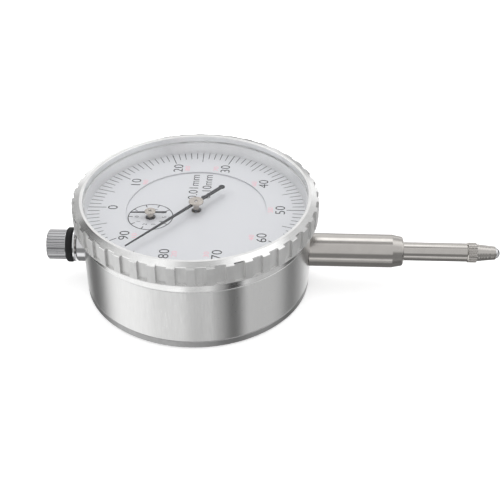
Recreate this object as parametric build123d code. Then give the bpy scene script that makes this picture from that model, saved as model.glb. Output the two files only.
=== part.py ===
from build123d import *
import os
from math import atan2, cos, degrees, pi, radians, sin, tan

# A plunger dial indicator, 0.01 mm by 10 mm, lying on its back with the dial up.
# Millimetres. The origin is the centre of the back face, +X runs along the stem to the
# contact point and +Z comes out of the dial.

# ---- driving dimensions -------------------------------------------------------------
CASE_R = 27.0            # outside radius of the case
CASE_BORE_R = 24.9
CASE_TOP_Z = 16.05       # shoulder under the bezel
NECK_R = 25.9            # the neck that the bezel turns on
NECK_TOP_Z = 19.1
COVER_T = 2.0            # thickness of the back cover
COVER_RIM_R = 26.95      # it stands a little inside the case, with a line between them
WEB_LOW_Z = 17.6         # the web carries the dial and the movement
WEB_TOP_Z = 18.7
AXIS_Z = 8.7             # height of the stem's axis above the back
STEM_R = 4.0             # 8 mm clamping diameter
STEM_SHANK_R = 3.6       # the part of the stem that is pressed into the case
STEM_SEAT_X = 26.8       # spot face on the case that the stem's shoulder seats on
STEM_END_X = 49.2
STEM_TAPER_X = 46.5
BUSH_END_X = -29.0       # outer end of the upper bush
SPINDLE_R = 2.225
SPINDLE_FIT = 0.035      # radial running clearance of the spindle
TRAVEL = 10.3            # full stroke of the spindle
BEZEL_TOOTH_R = 28.7
BEZEL_GROOVE_R = 28.1
BEZEL_TEETH = 42
BEZEL_SKIRT_R = 27.2
BEZEL_BAND_Z = 19.0      # foot of the toothed band
BEZEL_SHOULDER_Z = 23.5  # top of the teeth, where the top bevel starts
BEZEL_TOP_Z = 24.35
DIAL_Z = 19.8            # top of the turning dial ring
DIAL_RING_IN_R = 16.5
DIAL_RING_OUT_R = 25.85
DIAL_RING_T = 0.3
DIAL_DISC_T = 0.75
CRYSTAL_LOW_Z = 22.75
CRYSTAL_TOP_Z = 24.05
CRYSTAL_SEAT_R = 26.2
CRYSTAL_R = 26.15

# Gear train: the rack drives 16 teeth, 100 teeth on the same arbor drive 10, so that one
# turn of the main pointer is 1 mm and one turn of the small pointer is 10 mm.
RACK_PITCH = 0.625
MODULE = RACK_PITCH / pi
RACK_PINION_TEETH = 16
WHEEL_TEETH = 100
CENTRE_TEETH = 10
PRESSURE = radians(20)
TOOTH_SHARE = 0.42       # tooth thickness over pitch, so the train has backlash
ADDENDUM = 0.9 * MODULE
DEDENDUM = 1.25 * MODULE
GEAR_LINE = 17.3         # direction of the line through the three arbors, in degrees

# ---- levels of the movement ---------------------------------------------------------
MAIN_PLATE_Z = (11.3, 12.3)
TOP_PLATE_Z = (15.6, 16.6)
PLATE_R = 21.8
WHEEL_Z = (13.0, 13.8)
HAIRSPRING_Z = (14.2, 14.6)
PIVOT_R = 0.35
PIVOT_FIT = 0.04
STAFF_R = 0.55           # the thin upper part of the centre arbor
COUNTER_STAFF_R = 0.6

# ---- pointers -----------------------------------------------------------------------
POINTER_ANGLE = 231.3    # direction of the main pointer at rest, in degrees from +X
POINTER_TIP = 22.8
POINTER_TAIL = 9.4
POINTER_Z = (21.45, 21.65)
SMALL_POINTER_ANGLE = 182.0
SMALL_POINTER_TIP = 4.7
SMALL_POINTER_TAIL = 3.7
SMALL_POINTER_Z = (20.73, 20.85)

# ---- derived places -----------------------------------------------------------------
CENTRE_DISTANCE = MODULE * (WHEEL_TEETH + CENTRE_TEETH) / 2
COUNTER = (-CENTRE_DISTANCE * cos(radians(GEAR_LINE)), -CENTRE_DISTANCE * sin(radians(GEAR_LINE)))
RETURN = (-COUNTER[0], -COUNTER[1])
RACK_PITCH_Y = COUNTER[1] + MODULE * RACK_PINION_TEETH / 2
GUIDE_PIN_X = 8.0        # guide pin at rest
GUIDE_PIN_R = 1.0
SPRING_Y = 5.7
SPRING_POST_X = 20.0

# ---- lifting cap and contact point --------------------------------------------------
CAP_END_X = -36.1
CAP_R = 3.62
RING_X = (-31.55, -29.85)    # the rubber ring on the lifting cap
RING_SEAT_R = 2.85
WASHER_R = 4.05
CAP_FACE_X = -29.35      # the washer behind the lifting cap rests just off the upper bush
THREAD_END_X = -33.2
THREAD_R = 1.5
CONTACT_X = 64.4         # seat of the contact point on the spindle
CONTACT_THREAD_R = 1.25
CONTACT_THREAD = 5.5
COLLAR_R = 2.42          # knurled collar of the contact point
COLLAR_END_X = 66.8
CONE_R = (2.08, 1.62)
CONE_END_X = 71.2
BALL_R = 1.5
TIP_X = 72.4

# ---- small fasteners and bushes of the movement -------------------------------------
SCREW_R = 0.9
SCREW_HEAD_R = 1.6
SCREW_HEAD_T = 1.0
SMALL_SCREW_R = 0.7
SMALL_HEAD_R = 1.3
SMALL_HEAD_T = 0.6
BUSH_R = 0.9
WIDE_BUSH_R = 1.1


# ---- helpers ------------------------------------------------------------------------
def post(radius, z_low, z_high, x=0.0, y=0.0):
    """A cylinder standing along Z."""
    return Pos(x, y, (z_low + z_high) / 2) * Cylinder(radius, z_high - z_low)


def drill(radius, z, x=0.0, y=0.0):
    """A cutter along Z that passes right through the layer `z`."""
    return post(radius, z[0] - 1, z[1] + 1, x, y)


def rod(radius, x_low, x_high, y=0.0, z=AXIS_Z):
    """A cylinder lying along X."""
    return Pos((x_low + x_high) / 2, y, z) * Rot(0, 90, 0) * Cylinder(radius, x_high - x_low)


def block(x, y, z):
    """A box from its (low, high) pair on each axis."""
    size = [high - low for low, high in (x, y, z)]
    centre = [(high + low) / 2 for low, high in (x, y, z)]
    return Pos(*centre) * Box(*size)


def turned(points):
    """A solid of revolution about Z from (radius, z) points."""
    return revolve(Plane.XZ * make_face(Polyline(*points, close=True)), axis=Axis.Z)


def turned_x(points):
    """A solid of revolution about the stem's axis from (x, radius) points."""
    profile = [(x, AXIS_Z + radius) for x, radius in points]
    return revolve(
        Plane.XZ * make_face(Polyline(*profile, close=True)),
        axis=Axis((0, 0, AXIS_Z), (1, 0, 0)),
    )


def prism(points, z_low, z_high):
    """A flat outline extruded along Z."""
    face = make_face(Polyline(*points, close=True))
    return Pos(0, 0, z_low) * extrude(face, z_high - z_low)


def polar(radius, angle):
    """A point in the plane, from its radius and its angle in degrees."""
    return (radius * cos(radians(angle)), radius * sin(radians(angle)))


def fused(shapes):
    """All the shapes joined into one."""
    body = shapes[0]
    for shape in shapes[1:]:
        body = body + shape
    return body


def fluted(body, radius, count, cutter_r, x_low, x_high):
    """Cuts straight knurling along X into a round body."""
    for index in range(count):
        y, z = polar(radius, 360 * index / count)
        body = body - rod(cutter_r, x_low, x_high, y, AXIS_Z + z)
    return body


# ---- gear teeth ---------------------------------------------------------------------
def gear_outline(teeth, phase):
    """Outline of a gear whose tooth points along `phase` degrees.

    Wheels have straight sloped flanks, pinions have radial flanks below the pitch circle.
    """
    pitch_r = MODULE * teeth / 2
    half = TOOTH_SHARE * pi / teeth
    tip_half = half - ADDENDUM * tan(PRESSURE) / pitch_r
    root_half = half + (DEDENDUM * tan(PRESSURE) / pitch_r if teeth > 20 else 0)
    corners = [
        (pitch_r - DEDENDUM, -root_half),
        (pitch_r, -half),
        (pitch_r + ADDENDUM, -tip_half),
        (pitch_r + ADDENDUM, tip_half),
        (pitch_r, half),
        (pitch_r - DEDENDUM, root_half),
    ]
    outline = []
    for tooth in range(teeth):
        middle = radians(phase) + 2 * pi * tooth / teeth
        outline += [(r * cos(middle + a), r * sin(middle + a)) for r, a in corners]
    return outline


def gear(teeth, phase, z, centre):
    """A solid gear at its centre."""
    return Pos(centre[0], centre[1], 0) * prism(gear_outline(teeth, phase), z[0], z[1])


def rack_cutter():
    """What is cut from the -Y side of the spindle to leave the rack."""
    tip_y = RACK_PITCH_Y - ADDENDUM
    root_y = RACK_PITCH_Y + DEDENDUM
    half = TOOTH_SHARE * RACK_PITCH / 2
    tip_half = half - ADDENDUM * tan(PRESSURE)
    root_half = half + DEDENDUM * tan(PRESSURE)
    gaps_left = 4
    gaps_right = 21
    points = [(COUNTER[0] - (gaps_left + 0.5) * RACK_PITCH, -SPINDLE_R - 1)]
    for gap in range(-gaps_left, gaps_right):
        tooth_x = COUNTER[0] + (gap - 0.5) * RACK_PITCH
        next_x = tooth_x + RACK_PITCH
        points += [
            (tooth_x + tip_half, tip_y),
            (tooth_x + root_half, root_y),
            (next_x - root_half, root_y),
            (next_x - tip_half, tip_y),
        ]
    points.append((points[-1][0], -SPINDLE_R - 1))
    return prism(points, AXIS_Z - 3, AXIS_Z + 3)


# ---- the case and its fittings ------------------------------------------------------
COVER_LIP_T = 1.0        # the cover's lip inside the case
COVER_SCREW_R = 22.6
COVER_SCREWS = [polar(COVER_SCREW_R, 45 + 90 * i) for i in range(4)]
MOVEMENT_SCREWS = [polar(r, GEAR_LINE + a) for r in (10, 19) for a in (90, -90)]
PILLAR_R = 1.6
PILLARS = [polar(19, GEAR_LINE + a) for a in (62, 118, -62, -118)]
DIAL_FEET = [polar(13, GEAR_LINE + a) for a in (90, -90)]
DIAL_FOOT_R = 0.6
ARBOR_HOLE_R = 2.0       # holes in the web for the two arbors that carry pointers
DIAL_HOLE_R = 1.2        # holes in the dial disc for the same two arbors
COVER_SCREW_SHANK_R = 1.25
COVER_SCREW_HEAD_R = 2.25
COVER_SCREW_SINK = 0.2   # how far the screw heads lie below the back face
COVER_SCREW_TIP_Z = 7.0
COVER_BOSS_R = 2.6
COVER_BOSS_Z = (COVER_T + COVER_LIP_T + 0.05, 9.0)
MOVEMENT_BOSS_R = 1.8
SPOT_FACE_R = 4.8
BOSS_R = 5.5
BOSS_X = 22.4
SNAP_Z = (17.3, 17.9)    # groove for the wire ring that keeps the bezel on
SNAP_GAP = 25            # opening of that ring, in degrees


def make_case():
    edge = 0.15
    groove_r = NECK_R - 0.5
    rim_r = NECK_R - 1.3
    body = turned([
        (0, WEB_LOW_Z), (CASE_BORE_R, WEB_LOW_Z), (CASE_BORE_R, COVER_T), (CASE_R - edge, COVER_T),
        (CASE_R, COVER_T + edge), (CASE_R, CASE_TOP_Z - edge), (CASE_R - edge, CASE_TOP_Z),
        (NECK_R, CASE_TOP_Z), (NECK_R, SNAP_Z[0]), (groove_r, SNAP_Z[0]), (groove_r, SNAP_Z[1]),
        (NECK_R, SNAP_Z[1]), (NECK_R, NECK_TOP_Z), (rim_r, NECK_TOP_Z), (rim_r, WEB_TOP_Z),
        (0, WEB_TOP_Z),
    ])
    wall = CASE_BORE_R + 0.6
    bosses = [rod(BOSS_R, BOSS_X, wall), rod(BOSS_R, -wall, -BOSS_X)]
    bosses += [post(COVER_BOSS_R, *COVER_BOSS_Z, x, y) for x, y in COVER_SCREWS]
    bosses += [post(MOVEMENT_BOSS_R, TOP_PLATE_Z[1], WEB_LOW_Z, x, y) for x, y in MOVEMENT_SCREWS]
    body = fused([body] + bosses)
    web = (WEB_LOW_Z, WEB_TOP_Z)
    holes = [rod(STEM_SHANK_R, BOSS_X - 1, CASE_R + 1), rod(STEM_R, -CASE_R - 1, -BOSS_X + 1)]
    holes.append(rod(SPOT_FACE_R, STEM_SEAT_X, CASE_R + 1))
    screw_hole_z = (COVER_T, COVER_SCREW_TIP_Z + 0.5)
    holes += [post(COVER_SCREW_SHANK_R, *screw_hole_z, x, y) for x, y in COVER_SCREWS]
    holes += [post(SCREW_R, TOP_PLATE_Z[1] - 1, 18.0, x, y) for x, y in MOVEMENT_SCREWS]
    holes += [drill(DIAL_FOOT_R, web, x, y) for x, y in DIAL_FEET]
    holes += [drill(ARBOR_HOLE_R, web, x, y) for x, y in ((0, 0), COUNTER)]
    return body - fused(holes)


def make_back_cover():
    edge = 0.2
    body = turned([
        (0, 0), (COVER_RIM_R - 2 * edge, 0), (COVER_RIM_R, 2 * edge), (COVER_RIM_R, COVER_T - edge),
        (COVER_RIM_R - edge, COVER_T), (CASE_BORE_R - 0.05, COVER_T),
        (CASE_BORE_R - 0.05, COVER_T + COVER_LIP_T), (0, COVER_T + COVER_LIP_T),
    ])
    shank_r, head_r = COVER_SCREW_SHANK_R + 0.1, COVER_SCREW_HEAD_R + 0.1
    for x, y in COVER_SCREWS:
        body = body - drill(shank_r, (0, COVER_T + COVER_LIP_T), x, y)
        body = body - post(head_r, -1, COVER_SCREW_SINK, x, y)
        body = body - Pos(x, y, COVER_SCREW_SINK + 0.5) * Cone(head_r, shank_r, 1.0)
    return body


def make_cover_screws():
    screws = []
    for x, y in COVER_SCREWS:
        head = Pos(x, y, COVER_SCREW_SINK + 0.5) * Cone(COVER_SCREW_HEAD_R, COVER_SCREW_SHANK_R, 1.0)
        shank = post(COVER_SCREW_SHANK_R, COVER_SCREW_SINK + 1.0, COVER_SCREW_TIP_Z, x, y)
        slot = block((x - 3, x + 3), (y - 0.25, y + 0.25), (0, 0.65))
        screws.append((head + shank) - slot)
    return Compound(children=screws)


LOWER_BUSH_R = 3.0
LOWER_BUSH_X = (STEM_END_X - 6.4, STEM_END_X - 0.1)


def make_stem():
    rim = 0.4
    body = turned_x([
        (BOSS_X, 0), (BOSS_X, STEM_SHANK_R), (STEM_SEAT_X, STEM_SHANK_R), (STEM_SEAT_X, STEM_R),
        (STEM_TAPER_X, STEM_R), (STEM_END_X - rim, STEM_R - 0.45),
        (STEM_END_X - rim / 3, STEM_R - 0.55), (STEM_END_X, STEM_R - 0.85), (STEM_END_X, 0),
    ])
    body = body - rod(2.5, BOSS_X - 1, STEM_END_X + 1)
    return body - rod(LOWER_BUSH_R, LOWER_BUSH_X[0], STEM_END_X + 1)


def make_lower_bush():
    return rod(LOWER_BUSH_R, *LOWER_BUSH_X) - rod(SPINDLE_R + SPINDLE_FIT, *LOWER_BUSH_X)


def make_upper_bush():
    edge = 0.3
    body = turned_x([
        (BUSH_END_X, 0), (BUSH_END_X, STEM_R - edge), (BUSH_END_X + edge, STEM_R),
        (-BOSS_X, STEM_R), (-BOSS_X, 0),
    ])
    return body - rod(SPINDLE_R + SPINDLE_FIT, BUSH_END_X - 1, -BOSS_X + 1)


def make_snap_wire():
    """A split ring of round wire that keeps the bezel on the neck."""
    section = Plane.XZ * Pos(25.75, (SNAP_Z[0] + SNAP_Z[1]) / 2) * Circle(0.25)
    return revolve(section, axis=Axis.Z, revolution_arc=360 - SNAP_GAP)


def make_dial_disc():
    """The fixed inner dial, under the edge of the turning dial ring."""
    layer = (WEB_TOP_Z, WEB_TOP_Z + DIAL_DISC_T)
    body = post(DIAL_RING_IN_R + 1, *layer)
    return body - drill(DIAL_HOLE_R, layer) - drill(DIAL_HOLE_R, layer, *COUNTER)


def make_dial_feet():
    feet = [post(DIAL_FOOT_R, WEB_LOW_Z + 0.1, WEB_TOP_Z, x, y) for x, y in DIAL_FEET]
    return Compound(children=feet)


# ---- the fixed part of the movement -------------------------------------------------
RAIL_Y = (3.2, 4.4)
RAIL_SCREWS = [(-4.0, 6.6), (10.0, 6.6)]
COCK_X = (COUNTER[0] - 3, COUNTER[0] + 3)
COCK_Y = (-9.0, -7.6)
COCK_Z = (4.6, 5.6)
FOOT_Z = (MAIN_PLATE_Z[0] - 0.9, MAIN_PLATE_Z[0])     # feet of the cock and of the rail
COCK_SCREWS = [(COUNTER[0] - 1.8, -10.6), (COUNTER[0] + 1.8, -10.6)]
STUD_PLACE = polar(6.9, 60)     # from the return arbor to the outer end of the hairspring
STUD = (RETURN[0] + STUD_PLACE[0], RETURN[1] + STUD_PLACE[1])
STUD_R = 0.5


COUNTER_HOLE_R = 1.6     # the rack pinion passes through the main plate here
SPRING_POST_R = 0.7
TOP_BUSHES = [               # place, outside radius and shaft radius
    ((0, 0), WIDE_BUSH_R, STAFF_R),
    (COUNTER, WIDE_BUSH_R, COUNTER_STAFF_R),
    (RETURN, BUSH_R, PIVOT_R),
]


def flush_screw(x, y, z_top, z_low):
    """A small screw with its head let into the main plate."""
    head = post(SMALL_HEAD_R, z_top - SMALL_HEAD_T, z_top, x, y)
    return head + post(SMALL_SCREW_R, z_low, z_top - SMALL_HEAD_T, x, y)


def make_main_plate():
    body = post(PLATE_R, *MAIN_PLATE_Z)
    holes = [drill(BUSH_R, MAIN_PLATE_Z, x, y) for x, y in ((0, 0), RETURN)]
    holes.append(drill(COUNTER_HOLE_R, MAIN_PLATE_Z, *COUNTER))
    holes += [drill(SCREW_R, MAIN_PLATE_Z, x, y) for x, y in PILLARS]
    holes += [flush_screw(x, y, MAIN_PLATE_Z[1], 10) for x, y in RAIL_SCREWS + COCK_SCREWS]
    holes.append(drill(SPRING_POST_R, MAIN_PLATE_Z, SPRING_POST_X, SPRING_Y))
    return body - fused(holes)


def make_top_plate():
    body = post(PLATE_R, *TOP_PLATE_Z)
    holes = [drill(bush_r, TOP_PLATE_Z, x, y) for (x, y), bush_r, _ in TOP_BUSHES]
    holes += [drill(SCREW_R, TOP_PLATE_Z, x, y) for x, y in PILLARS + MOVEMENT_SCREWS]
    holes.append(drill(STUD_R, TOP_PLATE_Z, *STUD))
    return body - fused(holes)


def bush(outer_r, shaft_r, z, x, y):
    """A plain bearing for one arbor, pressed into the layer `z`."""
    return post(outer_r, *z, x, y) - drill(shaft_r + PIVOT_FIT, z, x, y)


def make_main_plate_bushes():
    bushes = [bush(BUSH_R, PIVOT_R, MAIN_PLATE_Z, x, y) for x, y in ((0, 0), RETURN)]
    return Compound(children=bushes)


def make_top_plate_bushes():
    bushes = [bush(outer_r, shaft_r, TOP_PLATE_Z, x, y) for (x, y), outer_r, shaft_r in TOP_BUSHES]
    return Compound(children=bushes)


def make_pillars():
    gap = (MAIN_PLATE_Z[1], TOP_PLATE_Z[0])
    pillars = [post(PILLAR_R, *gap, x, y) - drill(SCREW_R, gap, x, y) for x, y in PILLARS]
    return Compound(children=pillars)


def cheese_screw(x, y, seat_z, tip_z):
    """A slotted cheese-head screw under seat_z whose shank runs up to tip_z."""
    head_z = seat_z - SCREW_HEAD_T
    body = post(SCREW_HEAD_R, head_z, seat_z, x, y) + post(SCREW_R, seat_z, tip_z, x, y)
    return body - block((x - 2, x + 2), (y - 0.2, y + 0.2), (head_z - 1, head_z + 0.4))


def make_pillar_screws():
    tip_z = TOP_PLATE_Z[1] - 0.2
    return Compound(children=[cheese_screw(x, y, MAIN_PLATE_Z[0], tip_z) for x, y in PILLARS])


def make_movement_screws():
    tip_z = WEB_LOW_Z + 0.3
    return Compound(children=[cheese_screw(x, y, TOP_PLATE_Z[0], tip_z) for x, y in MOVEMENT_SCREWS])


def make_pinion_cock():
    """The bracket under the main plate that holds the lower pivot of the rack pinion."""
    wall = block(COCK_X, COCK_Y, (COCK_Z[0], MAIN_PLATE_Z[0]))
    shelf = block(COCK_X, (COCK_Y[0], COUNTER[1] + 1.6), COCK_Z)
    foot = block(COCK_X, (COCK_Y[0] - 3.2, COCK_Y[1]), FOOT_Z)
    body = wall + shelf + foot - drill(BUSH_R, COCK_Z, *COUNTER)
    return body - fused([drill(SMALL_SCREW_R, FOOT_Z, x, y) for x, y in COCK_SCREWS])


def make_cock_bush():
    return bush(BUSH_R, PIVOT_R, COCK_Z, *COUNTER)


def make_guide_rail():
    """The slotted rail that keeps the spindle from turning."""
    slot_r = GUIDE_PIN_R + 0.04
    x = (-5.5, 11.5)
    plate = block(x, RAIL_Y, (AXIS_Z - 2.5, MAIN_PLATE_Z[0]))
    foot = block(x, (RAIL_Y[0], 8.4), FOOT_Z)
    slot_x = (GUIDE_PIN_X - TRAVEL - 0.1, GUIDE_PIN_X + 0.1)
    slot = block(slot_x, (2, 5), (AXIS_Z - slot_r, AXIS_Z + slot_r))
    for end in slot_x:
        slot = slot + Pos(end, 3.5, AXIS_Z) * Rot(90, 0, 0) * Cylinder(slot_r, 3)
    return plate + foot - slot - fused([drill(SMALL_SCREW_R, FOOT_Z, a, b) for a, b in RAIL_SCREWS])


def make_rail_screws():
    return Compound(children=[flush_screw(x, y, MAIN_PLATE_Z[1], 10.4) for x, y in RAIL_SCREWS])


def make_cock_screws():
    return Compound(children=[flush_screw(x, y, MAIN_PLATE_Z[1], 10.3) for x, y in COCK_SCREWS])


def make_spring_post():
    """The fixed post at the far end of the measuring spring, with a head below the spring."""
    low = AXIS_Z - 1.7
    body = post(SPRING_POST_R, low, MAIN_PLATE_Z[1], SPRING_POST_X, SPRING_Y)
    return body + post(SPRING_POST_R + 0.4, low, low + 0.4, SPRING_POST_X, SPRING_Y)


def make_hairspring_stud():
    low = HAIRSPRING_Z[0] - 0.25
    return post(STUD_R + 0.2, low, TOP_PLATE_Z[0], *STUD) + post(STUD_R, *TOP_PLATE_Z, *STUD)


# ---- the bezel ----------------------------------------------------------------------
BEZEL_BEVEL_R = 26.9     # inner edge of the top bevel
BEZEL_WALL_R = (25.5, 25.85)     # inside wall, at the dial and at the crystal
BEZEL_FLANGE_T = 0.3     # the thin flange below the teeth, where the grooves stop
SNAP_GROOVE_R = 26.3
GASKET_Z = (CRYSTAL_LOW_Z - 0.2, CRYSTAL_LOW_Z)
GROOVE_SPAN = 5.0        # degrees of one bezel groove
GROOVE_START = -2.05     # direction of the groove nearest -Y, in degrees towards +X


def make_bezel():
    low = CASE_TOP_Z + 0.15
    bore = NECK_R + 0.05
    snap_low, snap_high = SNAP_Z[0] - 0.1, SNAP_Z[1] + 0.1
    edge = 0.1
    body = turned([
        (bore, low), (BEZEL_SKIRT_R - edge, low), (BEZEL_SKIRT_R, low + edge),
        (BEZEL_SKIRT_R, BEZEL_BAND_Z), (BEZEL_TOOTH_R - edge, BEZEL_BAND_Z),
        (BEZEL_TOOTH_R, BEZEL_BAND_Z + edge), (BEZEL_TOOTH_R, BEZEL_SHOULDER_Z),
        (BEZEL_TOOTH_R - edge, BEZEL_SHOULDER_Z + edge), (BEZEL_BEVEL_R, BEZEL_TOP_Z),
        (CRYSTAL_SEAT_R + edge, BEZEL_TOP_Z), (CRYSTAL_SEAT_R, BEZEL_TOP_Z - edge),
        (CRYSTAL_SEAT_R, GASKET_Z[0]), (BEZEL_WALL_R[1], GASKET_Z[0]), (BEZEL_WALL_R[0], DIAL_Z),
        (bore, DIAL_Z), (bore, snap_high),
        (SNAP_GROOVE_R, snap_high), (SNAP_GROOVE_R, snap_low), (bore, snap_low),
    ])
    width = 2 * BEZEL_GROOVE_R * sin(radians(GROOVE_SPAN / 2))
    groove_z = (BEZEL_BAND_Z + BEZEL_FLANGE_T, BEZEL_TOP_Z + 1)
    groove = block((BEZEL_GROOVE_R, BEZEL_TOOTH_R + 1), (-width / 2, width / 2), groove_z)
    grooves = []
    for index in range(BEZEL_TEETH):
        grooves.append(Rot(0, 0, -90 + GROOVE_START + 360 * index / BEZEL_TEETH) * groove)
    return body - grooves


def make_crystal_gasket():
    return post(CRYSTAL_R, *GASKET_Z) - drill(BEZEL_WALL_R[1] + 0.02, GASKET_Z)


def make_crystal():
    return turned([
        (0, CRYSTAL_LOW_Z), (CRYSTAL_R, CRYSTAL_LOW_Z), (CRYSTAL_R, CRYSTAL_TOP_Z - 0.2),
        (CRYSTAL_R - 0.2, CRYSTAL_TOP_Z), (0, CRYSTAL_TOP_Z),
    ])


def make_dial_ring():
    layer = (DIAL_Z - DIAL_RING_T, DIAL_Z)
    return post(DIAL_RING_OUT_R, *layer) - drill(DIAL_RING_IN_R, layer)


# ---- the spindle and what moves with it ---------------------------------------------
def make_spindle():
    body = rod(SPINDLE_R, CAP_FACE_X, CONTACT_X) + rod(THREAD_R, THREAD_END_X, CAP_FACE_X)
    pin_hole = Pos(GUIDE_PIN_X, 0, AXIS_Z) * Rot(90, 0, 0) * Cylinder(GUIDE_PIN_R, 8)
    tapped = rod(CONTACT_THREAD_R, CONTACT_X - CONTACT_THREAD - 0.5, CONTACT_X + 1)
    return body - rack_cutter() - tapped - pin_hole


def make_guide_pin():
    y = (-1.9, SPRING_Y + 1.3)
    return Pos(GUIDE_PIN_X, sum(y) / 2, AXIS_Z) * Rot(90, 0, 0) * Cylinder(GUIDE_PIN_R, y[1] - y[0])


def make_lifting_cap():
    chamfer = 0.25
    body = turned_x([
        (CAP_END_X, 0), (CAP_END_X, CAP_R - chamfer), (CAP_END_X + chamfer, CAP_R), (RING_X[0], CAP_R),
        (RING_X[0], RING_SEAT_R), (RING_X[1], RING_SEAT_R), (RING_X[1], 0),
    ])
    body = body - rod(THREAD_R, THREAD_END_X - 0.2, CAP_FACE_X)
    return fluted(body, CAP_R + 0.03, 28, 0.28, CAP_END_X - 1, RING_X[0] - 0.15)


def make_rubber_ring():
    width, height = RING_X[1] - RING_X[0], 1.35
    centre = Pos(sum(RING_X) / 2, AXIS_Z + RING_SEAT_R + height / 2)
    profile = Plane.XZ * centre * RectangleRounded(width, height, 0.55)
    return revolve(profile, axis=Axis((0, 0, AXIS_Z), (1, 0, 0)))


def make_cap_washer():
    edge = 0.1
    return turned_x([
        (RING_X[1], THREAD_R), (RING_X[1], WASHER_R - edge), (RING_X[1] + edge, WASHER_R),
        (CAP_FACE_X - edge, WASHER_R), (CAP_FACE_X, WASHER_R - edge), (CAP_FACE_X, THREAD_R),
    ])


def make_contact_point():
    neck = 0.3
    edge = 0.15
    body = turned_x([
        (CONTACT_X, 0), (CONTACT_X, COLLAR_R - neck), (CONTACT_X + neck, COLLAR_R),
        (COLLAR_END_X - edge, COLLAR_R), (COLLAR_END_X, COLLAR_R - edge), (COLLAR_END_X, CONE_R[0]),
        (CONE_END_X, CONE_R[1]), (CONE_END_X, 0),
    ])
    body = fluted(body, COLLAR_R + 0.03, 20, 0.26, CONTACT_X + neck, COLLAR_END_X + edge)
    body = body + rod(CONTACT_THREAD_R, CONTACT_X - CONTACT_THREAD, CONTACT_X)
    return body - make_contact_ball()


def make_contact_ball():
    return Pos(TIP_X - BALL_R, 0, AXIS_Z) * Sphere(BALL_R)


def make_measuring_spring():
    """The coil of the extension spring between the guide pin and its post, as it sits at rest."""
    wire_r = 0.14
    coil_r = 0.95
    x = (GUIDE_PIN_X + 2.2, SPRING_POST_X - 1.6)
    turns = 14
    path = Helix(pitch=(x[1] - x[0]) / turns, height=x[1] - x[0], radius=coil_r)
    section = Plane(origin=path @ 0, z_dir=path % 0) * Circle(wire_r)
    coil = Pos(x[0], SPRING_Y, AXIS_Z) * Rot(0, 90, 0) * sweep(section, path=path, is_frenet=True)
    return coil + spring_hook(x[0], -1, wire_r, coil_r) + spring_hook(x[1], 1, wire_r, coil_r)


def spring_hook(x, side, wire_r, coil_r):
    """The straight end of the wire from the coil to its pin or post, and the eye around it."""
    holder_x, holder_r = (GUIDE_PIN_X, GUIDE_PIN_R) if side < 0 else (SPRING_POST_X, SPRING_POST_R)
    eye_r = holder_r + wire_r + 0.1
    eye = Torus(eye_r, wire_r)
    if side < 0:
        eye = Rot(90, 0, 0) * eye
    eye = Pos(holder_x, SPRING_Y, AXIS_Z) * eye
    arm_x = sorted((x, holder_x - side * eye_r))
    arm = rod(wire_r, *arm_x, SPRING_Y)
    riser = post(wire_r, AXIS_Z - coil_r, AXIS_Z, x, SPRING_Y)
    return eye + arm + riser


# ---- arbors, wheels and pointers ----------------------------------------------------
RACK_PINION_Z = (7.0, 10.4)
WHEEL_SEAT_R = 1.0       # the counter wheel sits on this diameter of the counter arbor
RETURN_SEAT_R = 0.7
POINTER_SEAT_R = 0.4     # thin top of the centre arbor, inside the pointer's hub
COLLET_R = 1.3
PIPE_R = 0.65            # pipe of the main pointer's hub
SMALL_PIPE_R = 0.7


def make_rack_pinion():
    """The counter arbor with its 16 teeth, from the cock to the small pointer."""
    x, y = COUNTER
    body = gear(RACK_PINION_TEETH, 90, RACK_PINION_Z, COUNTER)
    stages = [
        (PIVOT_R, 4.7, 6.0), (1.2, 6.0, RACK_PINION_Z[0]), (WHEEL_SEAT_R, RACK_PINION_Z[1], 14.8),
        (COUNTER_STAFF_R, 14.8, 19.6), (PIVOT_R, 19.6, 21.0),
    ]
    return fused([body] + [post(r, low, high, x, y) for r, low, high in stages])


def make_counter_wheel():
    return gear(WHEEL_TEETH, GEAR_LINE, WHEEL_Z, COUNTER) - drill(WHEEL_SEAT_R, WHEEL_Z, *COUNTER)


def make_centre_pinion():
    """The centre arbor with its 10 teeth, from the main plate to the main pointer."""
    body = gear(CENTRE_TEETH, GEAR_LINE + 180 / CENTRE_TEETH, (12.7, 15.1), (0, 0))
    stages = [(PIVOT_R, 11.4, 12.7), (STAFF_R, 15.1, 19.8), (POINTER_SEAT_R, 19.8, 21.9)]
    return fused([body] + [post(r, low, high) for r, low, high in stages])


def make_return_arbor():
    x, y = RETURN
    stages = [(PIVOT_R, 11.4, 12.6), (RETURN_SEAT_R, 12.6, 15.3), (PIVOT_R, 15.3, 16.5)]
    return fused([post(r, low, high, x, y) for r, low, high in stages])


def make_return_wheel():
    return gear(WHEEL_TEETH, GEAR_LINE + 180, WHEEL_Z, RETURN) - drill(RETURN_SEAT_R, WHEEL_Z, *RETURN)


def make_hairspring_collet():
    layer = (HAIRSPRING_Z[0] - 0.25, HAIRSPRING_Z[1] + 0.25)
    return post(COLLET_R, *layer, *RETURN) - drill(RETURN_SEAT_R, layer, *RETURN)


def make_hairspring():
    """A flat spiral from the collet to the stud."""
    outer_r = 6.05
    turns = 6
    strip = 0.14
    end_angle = degrees(atan2(STUD_PLACE[1], STUD_PLACE[0]))
    steps = turns * 24

    def spiral(offset):
        points = []
        for step in range(steps + 1):
            share = step / steps
            radius = COLLET_R + offset + (outer_r - COLLET_R) * share
            points.append(polar(radius, end_angle - 360 * turns * (1 - share)))
        return points

    inner = spiral(0.0)
    outer = spiral(strip)
    edges = [Spline(*inner), Line(inner[-1], outer[-1]), Spline(*outer), Line(outer[0], inner[0])]
    strip_face = make_face(edges)
    return Pos(*RETURN, HAIRSPRING_Z[0]) * extrude(strip_face, HAIRSPRING_Z[1] - HAIRSPRING_Z[0])


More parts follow.
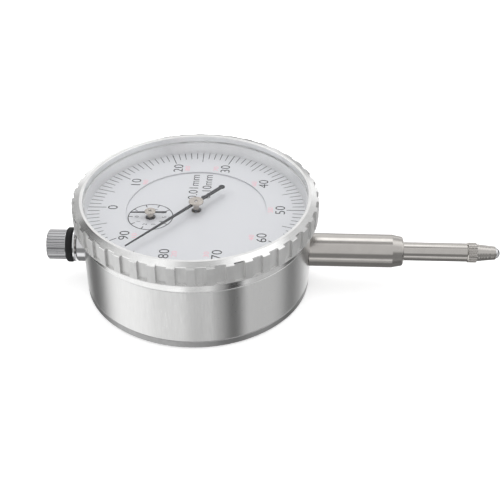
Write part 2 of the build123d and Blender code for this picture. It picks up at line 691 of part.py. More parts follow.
def pointer_blade(tip, tail, tip_half, root_half, tail_half, club_r, eye_r):
    """A tapered blade along +X with a rounded tail and an eye at the origin."""
    blade = make_face(Polyline(
        (-tail, -tail_half), (0, -root_half), (tip, -tip_half), (tip, tip_half),
        (0, root_half), (-tail, tail_half), close=True,
    ))
    blade = blade + Pos(-tail + club_r * 0.6, 0) * Circle(club_r) + Circle(eye_r)
    return blade


def make_main_pointer():
    blade = pointer_blade(POINTER_TIP, POINTER_TAIL, 0.14, 0.46, 0.5, 0.75, 1.25)
    blade = blade - Circle(PIPE_R)
    low, high = POINTER_Z
    return Pos(0, 0, low) * Rot(0, 0, POINTER_ANGLE) * extrude(blade, high - low)


def make_main_pointer_hub():
    """The hub disc on its pipe, with the end of the arbor seen in its eye."""
    seat_z, top_z = POINTER_Z[1], 22.1
    disc_r = 1.75
    edge = 0.1
    return turned([
        (POINTER_SEAT_R, 19.9), (PIPE_R, 19.9), (PIPE_R, seat_z), (disc_r, seat_z),
        (disc_r, top_z - edge), (disc_r - edge, top_z), (POINTER_SEAT_R + edge / 2, top_z),
        (POINTER_SEAT_R, top_z - edge / 2),
    ])


def make_small_pointer():
    blade = pointer_blade(SMALL_POINTER_TIP, SMALL_POINTER_TAIL, 0.16, 0.3, 0.28, 0.3, 1.0)
    blade = blade - Circle(SMALL_PIPE_R)
    low, high = SMALL_POINTER_Z
    shape = Rot(0, 0, SMALL_POINTER_ANGLE) * extrude(blade, high - low)
    return Pos(COUNTER[0], COUNTER[1], low) * shape


def make_small_pointer_hub():
    seat_z, top_z = SMALL_POINTER_Z[1], 21.22
    disc_r = 1.3
    edge = 0.08
    hub = turned([
        (PIVOT_R, 19.7), (SMALL_PIPE_R, 19.7), (SMALL_PIPE_R, seat_z), (disc_r, seat_z),
        (disc_r, top_z - edge), (disc_r - edge, top_z), (PIVOT_R, top_z),
    ])
    return Pos(COUNTER[0], COUNTER[1], 0) * hub


PARTS = {
    "case": make_case,
    "back_cover": make_back_cover,
    "cover_screws": make_cover_screws,
    "stem": make_stem,
    "lower_bush": make_lower_bush,
    "upper_bush": make_upper_bush,
    "bezel_snap_wire": make_snap_wire,
    "dial_disc": make_dial_disc,
    "dial_feet": make_dial_feet,
    "main_plate": make_main_plate,
    "top_plate": make_top_plate,
    "main_plate_bushes": make_main_plate_bushes,
    "top_plate_bushes": make_top_plate_bushes,
    "plate_pillars": make_pillars,
    "pillar_screws": make_pillar_screws,
    "movement_screws": make_movement_screws,
    "pinion_cock": make_pinion_cock,
    "cock_bush": make_cock_bush,
    "cock_screws": make_cock_screws,
    "guide_rail": make_guide_rail,
    "rail_screws": make_rail_screws,
    "spring_post": make_spring_post,
    "hairspring_stud": make_hairspring_stud,
    "bezel": make_bezel,
    "crystal": make_crystal,
    "crystal_gasket": make_crystal_gasket,
    "dial_ring": make_dial_ring,
    "spindle": make_spindle,
    "guide_pin": make_guide_pin,
    "lifting_cap": make_lifting_cap,
    "rubber_ring": make_rubber_ring,
    "cap_washer": make_cap_washer,
    "contact_point": make_contact_point,
    "contact_ball": make_contact_ball,
    "measuring_spring": make_measuring_spring,
    "rack_pinion": make_rack_pinion,
    "counter_wheel": make_counter_wheel,
    "small_pointer": make_small_pointer,
    "small_pointer_hub": make_small_pointer_hub,
    "centre_pinion": make_centre_pinion,
    "main_pointer": make_main_pointer,
    "main_pointer_hub": make_main_pointer_hub,
    "return_arbor": make_return_arbor,
    "return_wheel": make_return_wheel,
    "hairspring_collet": make_hairspring_collet,
    "hairspring": make_hairspring,
}

os.makedirs("parts", exist_ok=True)
for node, make in PARTS.items():
    export_step(make(), f"parts/{node}.step")
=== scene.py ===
from collections import namedtuple
from math import cos, pi, radians, sin, tau

import bmesh
import bpy
from mathutils import Matrix, Vector


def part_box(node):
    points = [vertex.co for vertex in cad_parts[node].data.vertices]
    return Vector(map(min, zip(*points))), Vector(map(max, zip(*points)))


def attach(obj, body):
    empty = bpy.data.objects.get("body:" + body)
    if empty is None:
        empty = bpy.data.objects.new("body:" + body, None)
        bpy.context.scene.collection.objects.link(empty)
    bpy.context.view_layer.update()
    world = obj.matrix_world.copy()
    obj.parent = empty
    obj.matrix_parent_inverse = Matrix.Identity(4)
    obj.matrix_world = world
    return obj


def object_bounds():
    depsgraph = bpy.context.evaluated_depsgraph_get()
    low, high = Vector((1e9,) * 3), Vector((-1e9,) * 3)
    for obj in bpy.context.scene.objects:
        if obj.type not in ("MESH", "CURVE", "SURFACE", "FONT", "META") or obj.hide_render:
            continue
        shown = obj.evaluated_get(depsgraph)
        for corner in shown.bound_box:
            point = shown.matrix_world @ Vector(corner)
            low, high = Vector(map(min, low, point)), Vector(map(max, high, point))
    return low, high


# Looks of a plunger dial indicator: the metals, the white dial and its printing, the clear
# crystal, and a plain pale studio. Metres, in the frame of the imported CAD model.

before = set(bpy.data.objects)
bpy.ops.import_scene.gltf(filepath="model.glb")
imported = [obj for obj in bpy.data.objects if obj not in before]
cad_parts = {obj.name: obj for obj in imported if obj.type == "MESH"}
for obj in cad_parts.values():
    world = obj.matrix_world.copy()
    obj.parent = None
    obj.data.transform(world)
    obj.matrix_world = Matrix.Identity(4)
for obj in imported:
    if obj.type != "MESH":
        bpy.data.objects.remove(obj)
CAD_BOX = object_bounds()
MM = 0.001


# ---- places, from the frame -----------------------------------------------------------
def middle(node):
    """Centre of a node's box."""
    low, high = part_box(node)
    return (low + high) / 2


RING_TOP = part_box("dial_ring")[1].z
DISC_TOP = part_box("dial_disc")[1].z
COUNTER = middle("small_pointer_hub")
STEM_AXIS = middle("stem")
INK = 0.015 * MM            # thickness of the printing

# Zones of the bezel that are finished differently, in plain millimetres.
BAND_IN_R = 27.5            # the toothed band is outside this radius
BAND_TOP_Z = 23.5           # and below this height
WALL_OUT_R = 26.25          # the inside wall is inside this radius
ZONE_EDGE = 0.1             # width over which one finish gives way to the next

# Noise stays mostly between these two values, so they are mapped to a range's ends.
NOISE_LOW = 0.3
NOISE_HIGH = 0.7


# ---- node trees -----------------------------------------------------------------------
class Tree:
    """A node tree with short ways to add a node and to feed a socket."""

    def __init__(self, owner):
        owner.use_nodes = True
        self.nodes = owner.node_tree.nodes
        self.links = owner.node_tree.links

    def feed(self, socket, value):
        if isinstance(value, bpy.types.NodeSocket):
            self.links.new(value, socket)
        else:
            socket.default_value = value

    def add(self, kind, inputs=None, **settings):
        """A new node's first output. `inputs` maps socket names or places to values or sockets."""
        node = self.nodes.new("ShaderNode" + kind)
        for key, value in settings.items():
            setattr(node, key, value)
        for key, value in (inputs or {}).items():
            self.feed(node.inputs[key], value)
        return node.outputs[0]

    def add_outputs(self, kind, inputs):
        """A new node's outputs."""
        return self.add(kind, inputs).node.outputs

    def math(self, operation, first, second=0.0):
        return self.add("Math", {0: first, 1: second}, operation=operation)

    def vector(self, operation, first, second=(0, 0, 0)):
        return self.add("VectorMath", {0: first, 1: second}, operation=operation)

    def dot(self, first, second):
        made = self.vector("DOT_PRODUCT", first, second)
        return made.node.outputs["Value"]

    def between(self, value, low, high, out_low=0.0, out_high=1.0, kind="LINEAR"):
        """Maps value from low..high to out_low..out_high, and holds it there."""
        ends = {"From Min": low, "From Max": high, "To Min": out_low, "To Max": out_high}
        return self.add("MapRange", {"Value": value, **ends}, interpolation_type=kind)

    def blend(self, share, first, second):
        """A colour between two colours."""
        node = self.nodes.new("ShaderNodeMix")
        node.data_type = "RGBA"
        for place, value in {0: share, 6: first, 7: second}.items():
            self.feed(node.inputs[place], value)
        return node.outputs[2]


class Finish(Tree):
    """A material around one Principled shader, with places measured in millimetres."""

    def __init__(self, name, metallic=1.0, ior=1.5, anisotropy=0.0, coat=0.0):
        self.material = bpy.data.materials.new(name)
        super().__init__(self.material)
        self.shader = self.nodes["Principled BSDF"]
        self.shader.inputs["Metallic"].default_value = metallic
        self.shader.inputs["IOR"].default_value = ior
        self.shader.inputs["Anisotropic"].default_value = anisotropy
        self.shader.inputs["Coat Weight"].default_value = coat
        place = self.nodes.new("ShaderNodeTexCoord").outputs["Object"]
        self.place = self.vector("SCALE", place)
        self.place.node.inputs["Scale"].default_value = 1 / MM
        self.bumps = None

    def noise(self, scale, detail=3.0, place=None, stretch=(1, 1, 1)):
        """Noise with features of about 1/scale millimetres, drawn out by `stretch`."""
        at = self.vector("MULTIPLY", place or self.place, stretch)
        return self.add("TexNoise", {"Vector": at, "Scale": scale, "Detail": detail})

    def spread(self, noise, low, high):
        """Noise mapped to low..high."""
        return self.between(noise, NOISE_LOW, NOISE_HIGH, low, high)

    def colour(self, first, second, share):
        self.feed(self.shader.inputs["Base Color"], self.blend(share, (*first, 1), (*second, 1)))

    def roughness(self, low, high, share):
        self.feed(self.shader.inputs["Roughness"], self.spread(share, low, high))

    def bump(self, height, depth, strength=1.0):
        """Adds one more layer of relief, `depth` millimetres deep."""
        inputs = {"Height": height, "Distance": depth * MM, "Strength": strength}
        if self.bumps is not None:
            inputs["Normal"] = self.bumps
        self.bumps = self.add("Bump", inputs)
        self.feed(self.shader.inputs["Normal"], self.bumps)

    def round_about(self, axis, centre):
        """Places as (distance from the axis, distance along it), for turning marks."""
        from_centre = self.vector("SUBTRACT", self.place, tuple(c / MM for c in centre))
        across = tuple(0.0 if letter == axis else 1.0 for letter in "XYZ")
        along = tuple(1.0 if letter == axis else 0.0 for letter in "XYZ")
        length = self.vector("LENGTH", self.vector("MULTIPLY", from_centre, across))
        radius = length.node.outputs["Value"]
        return self.add("CombineXYZ", {0: radius, 1: self.dot(from_centre, along)})

    def turned_tangent(self, axis):
        """Highlights that spread across the turning marks of a part turned about `axis`."""
        node = self.nodes.new("ShaderNodeTangent")
        node.direction_type = "RADIAL"
        node.axis = axis
        self.feed(self.shader.inputs["Tangent"], node.outputs[0])
        self.shader.inputs["Anisotropic Rotation"].default_value = 0.25


def dress(material, *nodes):
    """Gives CAD nodes a material."""
    for name in nodes:
        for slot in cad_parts[name].material_slots:
            slot.material = material


# ---- metals ---------------------------------------------------------------------------
BRIGHT = (0.95, 0.95, 0.945)

# The clean and the stained colour of each other metal.
SILVER = ((0.84, 0.84, 0.835), (0.76, 0.76, 0.755))
STEEL = ((0.56, 0.54, 0.515), (0.48, 0.46, 0.44))
CHROME = ((0.70, 0.70, 0.71), (0.62, 0.62, 0.63))
DARK_CHROME = ((0.52, 0.52, 0.53), (0.44, 0.44, 0.45))
NICKEL = ((0.60, 0.555, 0.51), (0.50, 0.46, 0.42))
BRASS = ((0.78, 0.58, 0.28), (0.66, 0.47, 0.20))
GREY = ((0.58, 0.58, 0.59), (0.48, 0.48, 0.49))
DULL = ((0.46, 0.46, 0.46), (0.38, 0.38, 0.38))
BLUED = ((0.22, 0.26, 0.38), (0.16, 0.19, 0.30))


def turned_metal(name, colours, rough, axis="Z", centre=(0, 0, 0), anisotropy=0.6, marks=6.0,
                 depth=0.002):
    """Metal from a lathe: fine rings about an axis, faint stains and uneven polish.

    There are about `marks` rings a millimetre, `depth` millimetres deep.
    """
    finish = Finish(name, anisotropy=anisotropy)
    rings_at = finish.round_about(axis, centre)
    rings = finish.noise(marks, 2.0, rings_at)
    stains = finish.noise(0.35, 4.0)
    finish.colour(*colours, stains)
    from_rings = finish.math("MULTIPLY", rings, 0.6)
    from_stains = finish.math("MULTIPLY", stains, 0.4)
    smears = finish.math("ADD", from_rings, from_stains)
    finish.roughness(*rough, smears)
    finish.bump(rings, depth)
    finish.turned_tangent(axis)
    return finish.material


def machined_metal(name, colours, rough, grain=3.0, depth=0.002, stretch=(1, 1, 1)):
    """Metal that is stamped, milled or cast: grain, stains and uneven polish, with no rings."""
    finish = Finish(name)
    grain_noise = finish.noise(grain, 3.0, stretch=stretch)
    stains = finish.noise(0.5, 4.0)
    finish.colour(*colours, stains)
    finish.roughness(*rough, finish.noise(grain * 0.4, 5.0))
    finish.bump(grain_noise, depth)
    return finish.material


def dress_case():
    """Turned case side with fine upright streaks and grain over the turning rings."""
    finish = Finish("satin_case", anisotropy=0.8)
    rings = finish.noise(5.0, 2.0, finish.round_about("Z", (0, 0, 0)))
    streaks = finish.noise(3.6, 5.0, stretch=(1, 1, 0.08))
    grain = finish.noise(4.5, 5.0)
    finish.colour(*SILVER, streaks)
    finish.roughness(0.26, 0.38, finish.blend(0.6, streaks, grain))
    finish.bump(rings, 0.003)
    finish.bump(streaks, 0.0018)
    finish.bump(grain, 0.003)
    finish.turned_tangent("Z")
    dress(finish.material, "case")


def dress_bezel():
    """Bright turned bevel, with a brushed wall inside and a milled band outside; the wall's colour
    holds a painted highlight.
    """
    finish = Finish("bright_bezel", anisotropy=0.4)
    rings_at = finish.round_about("Z", (0, 0, 0))
    rings = finish.noise(4.0, 2.0, rings_at)
    streaks = finish.noise(2.2, 4.0, stretch=(1, 1, 0.12))
    radius, height = finish.add_outputs("SeparateXYZ", {0: rings_at})[0:2]
    edge = ZONE_EDGE / 2
    below = finish.between(height, BAND_TOP_Z - edge, BAND_TOP_Z + edge, 1.0, 0.0)
    outside = finish.between(radius, BAND_IN_R, BAND_IN_R + ZONE_EDGE)
    band = finish.math("MULTIPLY", outside, below)
    wall = finish.between(radius, WALL_OUT_R, WALL_OUT_R + ZONE_EDGE, 1.0, 0.0)

    # Painted highlight: the inside wall's colour is pushed towards BRIGHT to stand in for the light
    # it catches. Below, `stains` holds the real stains and this painted highlight.
    painted_wall_highlight = finish.math("MULTIPLY", wall, -0.9)
    stains = finish.math("ADD", finish.noise(0.35, 4.0), painted_wall_highlight)
    finish.colour(BRIGHT, SILVER[1], finish.between(stains, -0.4, 0.7))

    polish = finish.spread(rings, 0.15, 0.24)
    milled = finish.spread(streaks, 0.58, 0.70)
    brushed = finish.spread(streaks, 0.28, 0.38)
    rough = polish
    for share, value in ((band, milled), (wall, brushed)):
        lift = finish.math("MULTIPLY", share, finish.math("SUBTRACT", value, polish))
        rough = finish.math("ADD", rough, lift)
    finish.feed(finish.shader.inputs["Roughness"], rough)
    finish.bump(rings, 0.002)
    finish.bump(finish.math("MULTIPLY", streaks, finish.math("MAXIMUM", band, wall)), 0.012)
    finish.turned_tangent("Z")
    dress(finish.material, "bezel")


def dress_stem_and_spindle():
    """What is turned about the stem's axis, from the cap to the contact's ball."""
    shaft = {"axis": "X", "centre": STEM_AXIS}
    stem = turned_metal("ground_stem", STEEL, (0.16, 0.24), anisotropy=0.5, **shaft)
    dress(stem, "stem")
    bush = turned_metal("bronze_bush", NICKEL, (0.18, 0.30), **shaft)
    dress(bush, "lower_bush")
    spindle = turned_metal("polished_spindle", STEEL, (0.10, 0.18), anisotropy=0.4, **shaft)
    dress(spindle, "spindle")
    contact = turned_metal("turned_contact", STEEL, (0.08, 0.16), marks=2.0, depth=0.05, **shaft)
    dress(contact, "contact_point")
    ball = turned_metal("hard_ball", CHROME, (0.04, 0.08), anisotropy=0.0, depth=0.0005, **shaft)
    dress(ball, "contact_ball")
    fittings = turned_metal("chrome_fittings", CHROME, (0.07, 0.14), anisotropy=0.2, **shaft)
    dress(fittings, "upper_bush", "cap_washer")
    cap = turned_metal("knurled_cap", DARK_CHROME, (0.08, 0.16), anisotropy=0.2, depth=0.004, **shaft)
    dress(cap, "lifting_cap")


def dress_hubs():
    """The round hubs that hold the pointers."""
    turning = {"anisotropy": 0.4, "marks": 4.0}
    main_hub = turned_metal("main_hub", NICKEL, (0.12, 0.22), **turning)
    dress(main_hub, "main_pointer_hub")
    small_hub = turned_metal("small_hub", NICKEL, (0.12, 0.22), centre=COUNTER, **turning)
    dress(small_hub, "small_pointer_hub")


def dress_movement():
    """The plates, wheels, arbors, screws and springs, most of them inside the case."""
    plates = machined_metal("plated_brass", BRASS, (0.25, 0.4), 4.0)
    dress(plates, "main_plate", "top_plate", "pinion_cock")
    wheels = machined_metal("wheel_brass", BRASS, (0.2, 0.32), 6.0)
    dress(wheels, "counter_wheel", "return_wheel", "hairspring_collet", "hairspring_stud")
    bushes = machined_metal("bush_bronze", BRASS, (0.18, 0.26), 8.0)
    dress(bushes, "main_plate_bushes", "top_plate_bushes", "cock_bush", "plate_pillars")
    arbors = machined_metal("arbor_steel", GREY, (0.10, 0.18), 5.0)
    dress(arbors, "rack_pinion", "centre_pinion", "return_arbor")
    dress(arbors, "guide_pin", "spring_post", "dial_feet")
    rails = machined_metal("rail_steel", GREY, (0.2, 0.32), 3.0, stretch=(0.2, 1, 1))
    dress(rails, "guide_rail", "bezel_snap_wire")
    screws = machined_metal("screw_steel", GREY, (0.12, 0.24), 4.0)
    dress(screws, "cover_screws", "pillar_screws", "movement_screws", "cock_screws", "rail_screws")
    springs = machined_metal("spring_steel", BLUED, (0.15, 0.25), 5.0)
    dress(springs, "hairspring", "measuring_spring")


def dress_metals():
    dress_case()
    dress(machined_metal("dull_cover", DULL, (0.34, 0.46), 4.0), "back_cover")
    dress_bezel()
    dress_stem_and_spindle()
    dress_hubs()
    dress_movement()


# ---- rubber, paint and the crystal ----------------------------------------------------
def dress_rubber():
    """The cap's black ring, and the pale seal under the crystal."""
    finish = Finish("black_rubber", metallic=0.0, ior=1.3)
    grain = finish.noise(6.0, 5.0)
    finish.colour((0.008, 0.008, 0.009), (0.02, 0.02, 0.021), grain)
    finish.roughness(0.42, 0.6, grain)
    finish.bump(grain, 0.02)
    dress(finish.material, "rubber_ring")
    seal = Finish("white_seal", metallic=0.0)
    haze = seal.noise(2.0)
    seal.colour((0.82, 0.82, 0.82), (0.74, 0.74, 0.74), haze)
    seal.roughness(0.3, 0.5, haze)
    dress(seal.material, "crystal_gasket")


def dress_dials():
    """White enamel with faint clouds and a very fine orange peel."""
    for node in ("dial_ring", "dial_disc"):
        finish = Finish("white_enamel_" + node, metallic=0.0, coat=0.15)
        finish.shader.inputs["Coat Roughness"].default_value = 0.25
        cloud = finish.noise(0.12, 2.0)
        finish.colour((0.715, 0.715, 0.74), (0.74, 0.74, 0.76), cloud)
        finish.roughness(0.42, 0.52, finish.noise(1.5, 3.0))
        finish.bump(finish.noise(5.0, 2.0), 0.002)
        dress(finish.material, node)


def dress_pointers():
    finish = Finish("pointer_lacquer", metallic=0.0, coat=0.3)
    finish.shader.inputs["Coat Roughness"].default_value = 0.15
    grain = finish.noise(3.0, 4.0)
    finish.colour((0.016, 0.017, 0.02), (0.035, 0.036, 0.042), grain)
    finish.roughness(0.3, 0.45, grain)
    finish.bump(grain, 0.004)
    dress(finish.material, "main_pointer", "small_pointer")


def dress_crystal():
    """A flat acrylic pane. Seen at a slant it mirrors more, and the rest passes through it."""
    pane = Finish("clear_acrylic", metallic=0.0)
    pane.nodes.remove(pane.shader)
    mirror = pane.nodes.new("ShaderNodeBsdfAnisotropic")
    mirror.inputs["Color"].default_value = (0.9, 0.9, 0.9, 1)
    pane.feed(mirror.inputs["Roughness"], pane.spread(pane.noise(0.2, 5.0), 0.01, 0.04))
    clear = pane.add("BsdfTransparent", {"Color": (0.985, 0.988, 0.99, 1)})
    glance = pane.add_outputs("LayerWeight", {"Blend": 0.5})["Facing"]
    share = pane.between(glance, 0.5, 1.0, 0.012, 0.35, "SMOOTHSTEP")
    mixed = pane.add("MixShader", {0: share, 1: clear, 2: mirror.outputs[0]})
    pane.feed(pane.nodes["Material Output"].inputs["Surface"], mixed)
    dress(pane.material, "crystal")


def ink(name, colour):
    """Printing ink with slightly uneven cover."""
    finish = Finish(name, metallic=0.0)
    cover = finish.noise(4.0, 4.0)
    finish.colour(colour, tuple(c * 1.6 + 0.01 for c in colour), cover)
    finish.roughness(0.4, 0.6, cover)
    return finish.material


# ---- printing -------------------------------------------------------------------------
BLACK_INK = (0.02, 0.02, 0.022)
RED_INK = (0.80, 0.33, 0.40)
DIVISIONS = 100
ZERO_ANGLE = radians(180.2)       # direction of the zero line, at rest
NUMBER_R = 19.7 * MM
NUMBER_INSET = 0.8 * MM           # numbers whose width points outward stand this much further in
NUMBER_HEIGHT = 2.3 * MM
NUMBER_STRETCH = 1.1              # the numbers are set this much wider than the font
TEXT_THINNING = -0.008            # offset of the letters' outlines, in the font's own units
REVERSE_HEIGHT = 1.15 * MM
REVERSE_STRETCH = 1.3
REVERSE_THINNING = -0.02
REVERSE_OFFSET = 2.3 * MM         # the reverse numbers stand this much nearer to the Y axis
TICK_IN = {"short": 22.64 * MM, "long": 21.2 * MM}
TICK_OUT = 25.45 * MM
TICK_WIDTH = 0.15 * MM
TENTH_TICK_WIDTH = 1.25 * TICK_WIDTH
SUBDIAL_R = 5.2 * MM
SUBDIAL_LINE = 0.2 * MM
SUBDIAL_TICK_IN = 0.80 * SUBDIAL_R
SUBDIAL_NUMBER_R = 0.62 * SUBDIAL_R
SUBDIAL_NUMBER_HEIGHT = 0.95 * MM
SUBDIAL_DIVISIONS = 10
LEGEND_HEIGHT = 2.2 * MM
CIRCLE_STEPS = 96

# Each row's place across and the start of its text, in millimetres, and its letters' stretch.
LegendRow = namedtuple("LegendRow", "text x start_y stretch")
LEGEND = [
    LegendRow("0.01mm", -1.4, 4.6, 1.07),
    LegendRow("0-10mm", 1.8, 5.0, 1.0),
]


def finished(name, mesh, material, body):
    """A new piece from a bmesh, on its body."""
    data = bpy.data.meshes.new(name)
    bmesh.ops.recalc_face_normals(mesh, faces=mesh.faces)
    mesh.to_mesh(data)
    mesh.free()
    data.materials.append(material)
    piece = bpy.data.objects.new(name, data)
    bpy.context.scene.collection.objects.link(piece)
    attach(piece, body)
    return piece


def add_stroke(mesh, start, end, width, z):
    """A straight printed line from start to end, as a thin bar on the surface at z."""
    along = (end - start).normalized()
    side = Vector((-along.y, along.x)) * width / 2
    corners = [start + side, start - side, end - side, end + side]
    low = [mesh.verts.new((c.x, c.y, z)) for c in corners]
    high = [mesh.verts.new((c.x, c.y, z + INK)) for c in corners]
    mesh.faces.new(low)
    mesh.faces.new(high)
    for i in range(4):
        j = (i + 1) % 4
        mesh.faces.new((low[i], low[j], high[j], high[i]))


def polar(radius, angle):
    return Vector((radius * cos(angle), radius * sin(angle)))


def add_circle(mesh, centre, radius, width, z):
    """A printed circle, as a thin flat ring."""
    inner, outer = radius - width / 2, radius + width / 2
    angles = [tau * i / CIRCLE_STEPS for i in range(CIRCLE_STEPS)]
    rows = []
    for r, level in ((inner, z), (outer, z), (outer, z + INK), (inner, z + INK)):
        places = [centre + polar(r, angle) for angle in angles]
        rows.append([mesh.verts.new((*place, level)) for place in places])
    for row, after in zip(rows, rows[1:] + rows[:1]):
        for i in range(CIRCLE_STEPS):
            j = (i + 1) % CIRCLE_STEPS
            mesh.faces.new((row[i], row[j], after[j], after[i]))


def add_text(mesh, text, place, height, z, stretch=1.0, centred=True, thinning=TEXT_THINNING):
    """Text of the given height, reading along +Y with its top towards -X.

    It is centred on `place`, or else starts there.
    """
    letters = bpy.data.curves.new(text, "FONT")
    letters.body = text
    letters.extrude = INK / 2
    letters.offset = thinning
    letters.resolution_u = 4
    holder = bpy.data.objects.new(text, letters)
    bpy.context.scene.collection.objects.link(holder)
    data = bpy.data.meshes.new_from_object(holder)
    xs = [v.co.x for v in data.vertices]
    ys = [v.co.y for v in data.vertices]
    size = height / (max(ys) - min(ys))
    origin_x = (min(xs) + max(xs)) / 2 if centred else min(xs)
    origin_y = (min(ys) + max(ys)) / 2
    for v in data.vertices:
        reading = (v.co.x - origin_x) * size * stretch
        upward = (v.co.y - origin_y) * size
        depth = INK / 2 + max(-INK / 2, min(INK / 2, v.co.z))
        v.co = (place.x - upward, place.y + reading, z + depth)
    mesh.from_mesh(data)
    bpy.data.objects.remove(holder)
    bpy.data.meshes.remove(data)
    bpy.data.curves.remove(letters)


def print_main_scale(black, red):
    """The lines, numbers and red reverse numbers that turn with the bezel."""
    ticks, numbers, reverse = bmesh.new(), bmesh.new(), bmesh.new()
    for k in range(DIVISIONS):
        angle = ZERO_ANGLE - tau * k / DIVISIONS
        start = TICK_IN["long"] if k % 5 == 0 else TICK_IN["short"]
        width = TENTH_TICK_WIDTH if k % 10 == 0 else TICK_WIDTH
        add_stroke(ticks, polar(start, angle), polar(TICK_OUT, angle), width, RING_TOP)
        if k % 10:
            continue
        place = polar(NUMBER_R - NUMBER_INSET * abs(sin(angle)), angle)
        add_text(numbers, str(k), place, NUMBER_HEIGHT, RING_TOP, NUMBER_STRETCH)
        if k:
            inward = REVERSE_OFFSET if place.x < 0 else -REVERSE_OFFSET
            inner = place + Vector((inward, 0))
            add_text(reverse, str(DIVISIONS - k), inner, REVERSE_HEIGHT, RING_TOP, REVERSE_STRETCH,
                     thinning=REVERSE_THINNING)
    finished("scale_lines", ticks, black, "bezel_body")
    finished("scale_numbers", numbers, black, "bezel_body")
    finished("reverse_numbers", reverse, red, "bezel_body")


def print_small_scale(black):
    """The turn counter's circle, lines and numbers."""
    lines, numbers = bmesh.new(), bmesh.new()
    centre = COUNTER.xy
    add_circle(lines, centre, SUBDIAL_R, SUBDIAL_LINE, DISC_TOP)
    for k in range(SUBDIAL_DIVISIONS):
        angle = pi + tau * k / SUBDIAL_DIVISIONS
        start = centre + polar(SUBDIAL_TICK_IN, angle)
        end = centre + polar(SUBDIAL_R, angle)
        add_stroke(lines, start, end, SUBDIAL_LINE, DISC_TOP)
        place = centre + polar(SUBDIAL_NUMBER_R, angle)
        add_text(numbers, str(k), place, SUBDIAL_NUMBER_HEIGHT, DISC_TOP)
    finished("small_scale_lines", lines, black, "case_body")
    finished("small_scale_numbers", numbers, black, "case_body")


def print_legend(black):
    """The scale's division and the measuring range."""
    legend = bmesh.new()
    for row in LEGEND:
        place = Vector((row.x, row.start_y)) * MM
        add_text(legend, row.text, place, LEGEND_HEIGHT, DISC_TOP, row.stretch, centred=False)
    finished("dial_legend", legend, black, "case_body")


# ---- studio ---------------------------------------------------------------------------
Panel = namedtuple("Panel", "azimuth elevation half_azimuth half_elevation soft level")

# Soft bright and dark panels around the table. Their places and sizes are in degrees, where
# azimuth 0 is +X and 90 is +Y, and their levels are brightnesses, where 1 is full white. A
# later panel lies over the earlier ones.
PANELS = [
    Panel(0, 90, 181, 8, 8, 0.42),            # dim ceiling above the table
    Panel(90, 28, 14, 26, 12, 1.00),          # window at the back
    Panel(79, 2, 5, 5, 6, 0.48),              # low shelf at the back
    Panel(92, 64, 30, 8, 6, 2.00),            # strip light above the back edge
    Panel(38, 62, 30, 7, 6, 1.40),            # overhead light, right
    Panel(152, 68, 30, 8, 7, 1.15),           # overhead light, left
    Panel(136, 46, 10, 15, 6, 0.12),          # gap beside the left light
    Panel(48, 38, 14, 10, 10, 0.70),          # grey wall, back right
    Panel(122, 20, 10, 8, 8, 0.60),           # grey wall, back left
    Panel(93, -11, 5, 6, 3, 0.15),            # narrow gap low at the back
    Panel(-90, 44, 60, 24, 14, 0.84),         # dim wall behind the camera
    Panel(-90, -6, 34, 12, 12, 0.32),         # dark edge of the table in front
    Panel(151, -20, 14, 34, 13, 0.10),        # dark drape, back left
    Panel(-58, -24, 4, 38, 20, 0.42),         # dark drape, front right, with a soft edge
    Panel(-49, -24, 4, 38, 9, 0.05),          # its darkest part
    Panel(-14, -22, 18, 36, 8, 0.60),         # grey wall, right
    Panel(21, -22, 8, 36, 10, 0.10),          # dark drape, right
    Panel(40, -22, 5, 36, 10, 0.40),          # its lighter edge
    Panel(-88, -48, 7, 8, 7, 0.55),           # shade in front of the stem
    Panel(0, -90, 181, 28, 16, 0.26),         # the shaded table straight below
]
WORLD_LEVEL = 1.18                            # everywhere else

KEY_AZIMUTH = radians(98)
KEY_ELEVATION = radians(56)
KEY_DISTANCE = 0.6
KEY_SIZE = 0.36
KEY_POWER = 0.5                               # watts
FLOOR_SIZE = 2.0                              # half its width
FLOOR_GAP = 0.02 * MM                         # between the floor and the object
FLOOR_GLOW = 0.45                             # emission that keeps the floor near white

CAMERA_AZIMUTH = radians(2.143)               # from straight in front, towards +X
CAMERA_ELEVATION = radians(36.141)
CAMERA_ROLL = radians(-0.078)
CAMERA_DISTANCE = 241.47 * MM
CAMERA_TARGET = Vector((12.60, 0.0, 8.119)) * MM
LENS = 72.0
SENSOR_WIDTH = 36.0


def direction_to(azimuth, elevation):
    """A unit vector. Azimuth 0 is +X, and a quarter turn is +Y."""
    flat = cos(elevation)
    return Vector((cos(azimuth) * flat, sin(azimuth) * flat, sin(elevation)))


def make_world():
    """Light from all round: a pale room with soft bright and dark panels."""
    world = bpy.data.worlds.new("studio")
    bpy.context.scene.world = world
    tree = Tree(world)
    direction = tree.nodes.new("ShaderNodeTexCoord").outputs["Generated"]
    height = tree.dot(direction, (0, 0, 1))
    elevation = tree.math("DEGREES", tree.math("ARCSINE", height))
    level = WORLD_LEVEL
    for panel in PANELS:
        angle = radians(panel.azimuth)
        ahead = tree.dot(direction, (cos(angle), sin(angle), 0))
        aside = tree.dot(direction, (-sin(angle), cos(angle), 0))
        turn = tree.math("ABSOLUTE", tree.math("DEGREES", tree.math("ARCTAN2", aside, ahead)))
        rise = tree.math("ABSOLUTE", tree.math("SUBTRACT", elevation, panel.elevation))
        masks = [
            tree.between(away, half, half + panel.soft, 1, 0, "SMOOTHSTEP")
            for away, half in ((turn, panel.half_azimuth), (rise, panel.half_elevation))
        ]
        mask = tree.math("MULTIPLY", *masks)
        lift = tree.math("MULTIPLY", mask, tree.math("SUBTRACT", panel.level, level))
        level = tree.math("ADD", level, lift)
    background = tree.nodes["Background"]
    tree.feed(background.inputs["Strength"], level)
    background.inputs["Color"].default_value = (1.0, 1.0, 1.0, 1)


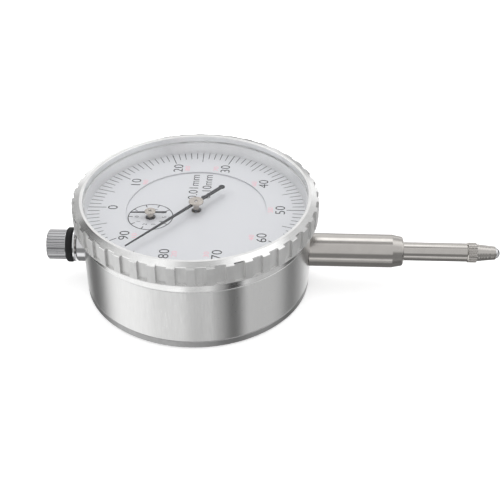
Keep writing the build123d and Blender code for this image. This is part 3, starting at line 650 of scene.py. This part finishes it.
def make_key_light():
    """A large soft light high at the back, which gives the pointers their faint shadows."""
    lamp = bpy.data.lights.new("key", "AREA")
    lamp.shape = "DISK"
    lamp.size = KEY_SIZE
    lamp.energy = KEY_POWER
    light = bpy.data.objects.new("key", lamp)
    back = direction_to(KEY_AZIMUTH, KEY_ELEVATION)
    light.location = back * KEY_DISTANCE
    light.rotation_mode = "QUATERNION"
    light.rotation_quaternion = back.to_track_quat("Z", "Y")
    light.visible_glossy = False
    bpy.context.scene.collection.objects.link(light)


def make_floor():
    """A pale seamless table. The metals mirror the room instead of it."""
    mesh = bmesh.new()
    bmesh.ops.create_grid(mesh, x_segments=4, y_segments=4, size=FLOOR_SIZE)
    data = bpy.data.meshes.new("floor")
    mesh.to_mesh(data)
    mesh.free()
    floor = bpy.data.objects.new("floor", data)
    floor.location.z = CAD_BOX[0].z - FLOOR_GAP
    finish = Finish("pale_table", metallic=0.0)
    cloud = finish.noise(0.02, 3.0)
    finish.colour((0.93, 0.93, 0.93), (0.95, 0.95, 0.95), cloud)
    finish.roughness(0.6, 0.75, cloud)
    finish.shader.inputs["Emission Color"].default_value = (1, 1, 1, 1)
    finish.shader.inputs["Emission Strength"].default_value = FLOOR_GLOW
    data.materials.append(finish.material)
    floor.visible_glossy = False
    bpy.context.scene.collection.objects.link(floor)


def make_camera():
    """The camera looks at its target from in front and above."""
    back = direction_to(CAMERA_AZIMUTH - pi / 2, CAMERA_ELEVATION)
    level = direction_to(CAMERA_AZIMUTH, 0)
    above = back.cross(level)
    right = cos(CAMERA_ROLL) * level + sin(CAMERA_ROLL) * above
    up = cos(CAMERA_ROLL) * above - sin(CAMERA_ROLL) * level
    data = bpy.data.cameras.new("camera")
    data.lens = LENS
    data.sensor_width = SENSOR_WIDTH
    data.clip_start = 0.005
    camera = bpy.data.objects.new("camera", data)
    turn = Matrix((right, up, back)).transposed().to_4x4()
    camera.matrix_world = Matrix.Translation(CAMERA_TARGET + back * CAMERA_DISTANCE) @ turn
    bpy.context.scene.collection.objects.link(camera)
    bpy.context.scene.camera = camera


def main():
    make_camera()
    dress_metals()
    dress_rubber()
    dress_dials()
    dress_pointers()
    dress_crystal()
    black = ink("black_ink", BLACK_INK)
    red = ink("red_ink", RED_INK)
    print_main_scale(black, red)
    print_small_scale(black)
    print_legend(black)
    make_world()
    make_key_light()
    make_floor()
    bpy.context.scene.view_settings.view_transform = "Standard"


main()
